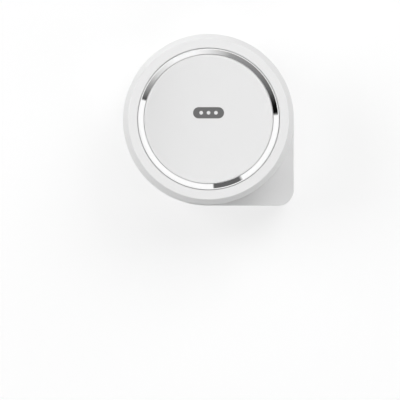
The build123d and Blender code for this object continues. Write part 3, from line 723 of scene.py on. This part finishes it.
class SANITIZER_OT_chamber(bpy.types.Operator):
    """Reflective trays, quartz pane and lamps"""
    bl_idname = "sanitizer.chamber"
    bl_label = "Brush chamber"

    def execute(self, context):
        inside = context.scene.sanitizer_inside
        mirror = bright_metal("tray_metallised", inside.tray, roughness=0.18, relief=0.004 * MM)
        dress(mirror, "chamber_liner", "lid_liner")
        dress(clear("quartz", inside.quartz), "quartz_pane")
        ceramic = moulded("lamp_ceramic", inside.ceramic, grain=0.2 * MM, roughness=0.4, relief=0.003 * MM)
        dress(ceramic, "uvc_leds", "status_lamp")
        dress(board("lamp_board", inside.lamp_board, inside.lamp_pads, pour=7.0 * MM), "led_board")
        self.lenses(context.scene.sanitizer_details, inside.lens)
        return {"FINISHED"}

    @staticmethod
    def lenses(details, tint):
        """Domed lens in the seat of each lamp.

        The dome's depth at r is its rim's depth plus crown times the square root of
        1 - (r / R) squared.
        """
        low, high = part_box("uvc_leds")
        face = -low.y
        size = high.x - low.x
        middle = (high.x + low.x) / 2
        glass = clear("lens_glass", tint, roughness=0.04)
        slope = np.linspace(0.0, math.pi / 2, num=9)
        rim = face - details.lens_crown * details.lens_rim
        radius = np.append(details.lens_radius * np.sin(slope), [details.lens_radius, 0.0])
        depth = np.append(rim + details.lens_crown * np.cos(slope), [face - details.lens_seat] * 2)
        profile = np.stack([radius, depth], axis=-1)
        for name, level in (("lamp_lens_lower", low.z + size / 2), ("lamp_lens_upper", high.z - size / 2)):
            points, quads = revolved(profile, steps=40, closed=False, x=middle, z=level)
            lens = outward(mesh_piece(name, points, quads, glass))
            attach(lens, "housing")


class SANITIZER_OT_soft_parts(bpy.types.Operator):
    """Silicone fork, seal, port flap and anchor, and foam tape"""
    bl_idname = "sanitizer.soft_parts"
    bl_label = "Soft parts"

    def execute(self, context):
        look = context.scene.sanitizer_plastic
        details = context.scene.sanitizer_details
        silicone = soft_rubber("silicone", look.silicone, relief=0.01 * MM)
        dress(silicone, "flap_anchor")
        fork = softened("brush_fork", "soft_fork", details.fork_cell, details.fork_passes, silicone)
        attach(fork, "housing")
        cell = details.fork_cell * details.flap_cell
        flap = softened("port_flap", "soft_flap", cell, details.flap_passes, silicone)
        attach(flap, "flap")
        self.seal(details.seal_width, soft_rubber("seal_silicone", look.seal, relief=0.01 * MM))
        dress(foam("foam_tape", look.foam), "adhesive_pad", "battery_tape")
        return {"FINISHED"}

    @staticmethod
    def seal(width, finish):
        """Bead in the deck's groove, with its ends either side of the hinge."""
        low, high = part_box("lid_seal")
        outer = -low.x
        half_gap = math.sqrt(outer ** 2 - high.x ** 2)
        depth = -(low.y + high.y) / 2
        piece = bead("seal_bead", outer - width / 2, half_gap, depth, (width, high.y - low.y), finish)
        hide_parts("lid_seal")
        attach(piece, "housing")


class SANITIZER_OT_hardware(bpy.types.Operator):
    """Screws, hinge pin, magnets and charging socket"""
    bl_idname = "sanitizer.hardware"
    bl_label = "Hardware"

    def execute(self, context):
        inside = context.scene.sanitizer_inside
        zinc = bright_metal("screw_zinc", inside.screw, roughness=0.3, relief=0.01 * MM, brushed=8.0)
        dress(zinc, "cover_screws", "led_screws", "board_screws", "liner_screws")
        pin = bright_metal("pin_steel", inside.pin, roughness=0.22, relief=0.004 * MM, brushed=12.0)
        dress(pin, "hinge_pin")
        nickel = bright_metal("magnet_nickel", inside.magnet, roughness=0.25, relief=0.004 * MM)
        dress(nickel, "body_magnets", "lid_magnets")
        dress(bright_metal("socket_steel", inside.socket, roughness=0.28, relief=0.005 * MM), "usb_socket")
        self.contacts(context.scene.sanitizer_details, inside.contact)
        return {"FINISHED"}

    @staticmethod
    def contacts(details, tint):
        """Two rows of gold contacts on the tongue of the charging socket."""
        low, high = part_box("usb_tongue")
        gold = bright_metal("contact_gold", tint, roughness=0.2, relief=0.002 * MM)
        count = details.contacts
        x = (low.x + high.x) / 2 + (np.arange(count) - (count - 1) / 2) * details.contact_pitch
        level = low.z + details.contact_length / 2 + details.contact_pitch / 2
        centres = [(place, face, level) for face in (low.y, high.y) for place in x]
        size = (details.contact_pitch / 2, details.contact_rise * 2, details.contact_length)
        piece = pillows("port_contacts", centres, size, gold)
        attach(piece, "housing")


class SANITIZER_OT_electronics(bpy.types.Operator):
    """Boards, chips, battery, leads and the light pipe"""
    bl_idname = "sanitizer.electronics"
    bl_label = "Electronics"

    def execute(self, context):
        inside = context.scene.sanitizer_inside
        dress(board("main_board", inside.main_board, inside.main_pads, pour=2.4 * MM), "main_board")
        black = moulded("chip_black", inside.chip, grain=0.3 * MM, roughness=0.5, relief=0.006 * MM)
        dress(black, "board_chips", "lid_sensor", "power_switch", "usb_tongue")
        dress(bright_metal("battery_foil", inside.battery, roughness=0.34, relief=0.02 * MM), "battery")
        red = soft_rubber("lead_red", inside.lead, relief=0.004 * MM, roughness=0.45)
        dress(red, "battery_leads", "led_leads")
        dress(clear("light_pipe", inside.pipe, roughness=0.12, milk=0.45), "light_pipe")
        return {"FINISHED"}


# ---------------------------------------------------------------- stage

# Each lamp's name, the setting that holds its power, and its place in metres
LAMPS = [
    ("left_lamp", "left_power", (-1.2, -0.7, 0.35)),
    ("upper_lamp", "upper_power", (0.0, -1.0, 0.85)),
    ("right_lamp", "right_power", (0.8, -0.9, 0.9)),
    ("side_lamp", "side_power", (1.2, -0.8, -0.6)),
    ("lower_lamp", "lower_power", (0.0, -1.0, -1.2)),
    ("back_lamp", "back_power", (0.0, 1.3, 0.6)),
]
# Greys of the tent's sides by the ring's angle, in degrees from three o'clock
TENT_STOPS = [
    (3.78, 1.0), (4.32, 0.002), (12, 0.005), (18, 0.045), (24, 0.11), (30, 0.15), (42, 0.215),
    (66, 0.3), (72, 0.34), (78, 0.55), (84, 0.65), (90, 0.79), (102, 0.96), (120, 0.96),
    (132, 0.78), (138, 0.7), (144, 0.55), (150, 0.36), (156, 0.245), (163.26, 0.07), (163.98, 1.0),
    (273.24, 1.0), (273.78, 0.127), (297.9, 0.127), (298.44, 1.0),
]
# Greys of the tent's middle by the direction's X
MIDDLE_STOPS = [(0.0, 1.0), (0.032, 0.98), (0.048, 0.75), (0.066, 0.33), (0.08, 0.0)]
# A direction is in the tent where its Y is under the first, and in its middle under the second
TENT_EDGE = -0.8
TENT_MIDDLE = -0.965
WHITE = (1.0, 1.0, 1.0, 1.0)


class SANITIZER_OT_stage(bpy.types.Operator):
    """Pale wall, soft light and the camera"""
    bl_idname = "sanitizer.stage"
    bl_label = "Stage"

    def execute(self, context):
        stage = context.scene.sanitizer_stage
        self.wall(stage)
        for name, power, place in LAMPS:
            self.lamp(name, getattr(stage, power), stage.lamp_size, place)
        self.world(context.scene, stage)
        self.camera(context.scene, stage)
        context.scene.view_settings.view_transform = "Standard"
        return {"FINISHED"}

    @staticmethod
    def wall(stage):
        """Flat pale wall that only the eye sees, and only from the room's side.

        It shows the shadows that fall on it. Its bounced light comes from the world.
        """
        made, graph = material("wall_paint")
        tone = graph.noise(graph.place(), scale=14.0)
        base = graph.mottled(tone, stage.wall, at_zero=0.995, at_one=1.0)
        camera_ray = graph.outputs("ShaderNodeLightPath")["Is Camera Ray"]
        shaded = graph.mix(camera_ray, base, rgba(stage.wall, stage.wall_own))
        paint = graph.add("ShaderNodeBsdfDiffuse", None, {"Color": shaded})
        glow = graph.add("ShaderNodeEmission", None, {"Strength": camera_ray * (1.0 - stage.wall_own)})
        lit = graph.add("ShaderNodeAddShader", None, {0: paint, 1: glow})
        behind = graph.outputs("ShaderNodeNewGeometry")["Backfacing"]
        nothing = graph.add("ShaderNodeBsdfTransparent")
        both = graph.add("ShaderNodeMixShader", None, {0: behind, 1: lit, 2: nothing})
        graph.add("ShaderNodeOutputMaterial", None, {"Surface": both})
        half = stage.wall_size / 2
        square = [(-half, -half), (half, -half), (half, half), (-half, half)]
        points = np.array([(x, stage.wall_gap, z) for x, z in square])
        wall = mesh_piece("wall", points, np.array([[0, 1, 2, 3]]), made)
        for ray in ("diffuse", "glossy", "transmission", "shadow"):
            setattr(wall, "visible_" + ray, False)

    @staticmethod
    def lamp(name, power, size, place):
        """Large soft square lamp aimed at the lid, which mirrors don't show."""
        light = bpy.data.lights.new(name, "AREA")
        light.energy = power
        light.size = size
        thing = bpy.data.objects.new(name, light)
        thing.location = place
        thing.rotation_euler = (-Vector(place)).to_track_quat("-Z", "Y").to_euler()
        thing.visible_glossy = False
        bpy.context.scene.collection.objects.link(thing)

    @staticmethod
    def world(scene, stage):
        """White for the eye, even light all round, and a tent with dark gaps for reflections.

        The tent's grey depends on the direction's angle round an axis that points a
        little up from -Y. The ring's band leans inwards, so it shows the side of the tent
        opposite to its own place. The tent's middle, which the flat faces show, fades
        from white on the left to dark on the right.
        """
        room = bpy.data.worlds.new("room")
        room.use_nodes = True
        scene.world = room
        graph = Graph(room.node_tree)
        way = graph.add("ShaderNodeTexCoord", out="Generated")
        x, y, z = graph.outputs("ShaderNodeSeparateXYZ", {"Vector": way}).values()
        rise = -stage.camera_level / stage.camera_distance
        turn = graph.maths("ARCTAN2", rise - z, -x) / (2 * math.pi)
        turn = graph.maths("FRACT", turn + 1.0)
        stops = [(angle / 360, grey) for angle, grey in TENT_STOPS]
        sides = graph.add("ShaderNodeValToRGB", {"stops": stops}, {"Fac": turn})
        across = graph.add("ShaderNodeValToRGB", {"stops": MIDDLE_STOPS}, {"Fac": x})
        tent = graph.mix(y < TENT_MIDDLE, sides, across)
        mirrored = graph.mix(y < TENT_EDGE, WHITE, tent)
        rays = graph.outputs("ShaderNodeLightPath")
        seen = graph.mix(rays["Is Glossy Ray"], WHITE, mirrored)
        bright = graph.maths("MAXIMUM", rays["Is Camera Ray"], rays["Is Glossy Ray"])
        bright = graph.maths("MAXIMUM", bright, rays["Is Transmission Ray"])
        behind = y > 0.0
        even = behind * stage.bounce + (1.0 - behind) * stage.ambient
        strength = bright + (1.0 - bright) * even
        background = graph.add("ShaderNodeBackground", None, {"Color": seen, "Strength": strength})
        graph.add("ShaderNodeOutputWorld", None, {"Surface": background})

    @staticmethod
    def camera(scene, stage):
        """Camera square to the wall, a little below and left of the lid's middle."""
        lens = bpy.data.cameras.new("camera")
        lens.sensor_width = 36.0
        lens.lens = lens.sensor_width * stage.camera_distance / stage.view_width
        lens.clip_start = 0.01
        lens.clip_end = 20.0
        thing = bpy.data.objects.new("camera", lens)
        away = LID_FRONT - stage.lid_edge + stage.camera_distance
        thing.location = (stage.camera_right, -away, stage.camera_level)
        thing.rotation_euler = (math.pi / 2, 0.0, 0.0)
        scene.collection.objects.link(thing)
        scene.camera = thing


# ---------------------------------------------------------------- panel and registration

class SANITIZER_PT_panel(bpy.types.Panel):
    """Lists the pieces and their settings"""
    bl_idname = "SANITIZER_PT_panel"
    bl_label = "Toothbrush Sanitizer"
    bl_space_type = "VIEW_3D"
    bl_region_type = "UI"
    bl_category = "Sanitizer"

    def draw(self, context):
        for operator in OPERATORS:
            self.layout.operator(operator.bl_idname)
        for name in SETTINGS:
            group = getattr(context.scene, name)
            box = self.layout.box()
            for key in group.__annotations__:
                box.prop(group, key)


SETTINGS = {
    "sanitizer_plastic": SanitizerPlastic,
    "sanitizer_ring": SanitizerRing,
    "sanitizer_panel": SanitizerPanel,
    "sanitizer_details": SanitizerDetails,
    "sanitizer_inside": SanitizerInside,
    "sanitizer_stage": SanitizerStage,
}
OPERATORS = [
    SANITIZER_OT_shell,
    SANITIZER_OT_ring,
    SANITIZER_OT_panel,
    SANITIZER_OT_mark,
    SANITIZER_OT_chamber,
    SANITIZER_OT_soft_parts,
    SANITIZER_OT_hardware,
    SANITIZER_OT_electronics,
    SANITIZER_OT_stage,
]


def register():
    for group in SETTINGS.values():
        bpy.utils.register_class(group)
    for name, group in SETTINGS.items():
        setattr(bpy.types.Scene, name, PointerProperty(type=group))
    for operator in OPERATORS:
        bpy.utils.register_class(operator)
    bpy.utils.register_class(SANITIZER_PT_panel)


def unregister():
    bpy.utils.unregister_class(SANITIZER_PT_panel)
    for operator in reversed(OPERATORS):
        bpy.utils.unregister_class(operator)
    for name, group in SETTINGS.items():
        delattr(bpy.types.Scene, name)
        bpy.utils.unregister_class(group)


def corners(bounds):
    """Bounds as plain lists."""
    return [[float(value) for value in corner] for corner in bounds]


def main():
    register()
    for operator in OPERATORS:
        group, name = operator.bl_idname.split(".")
        getattr(getattr(bpy.ops, group), name)()


if __name__ == "__main__":
    main()
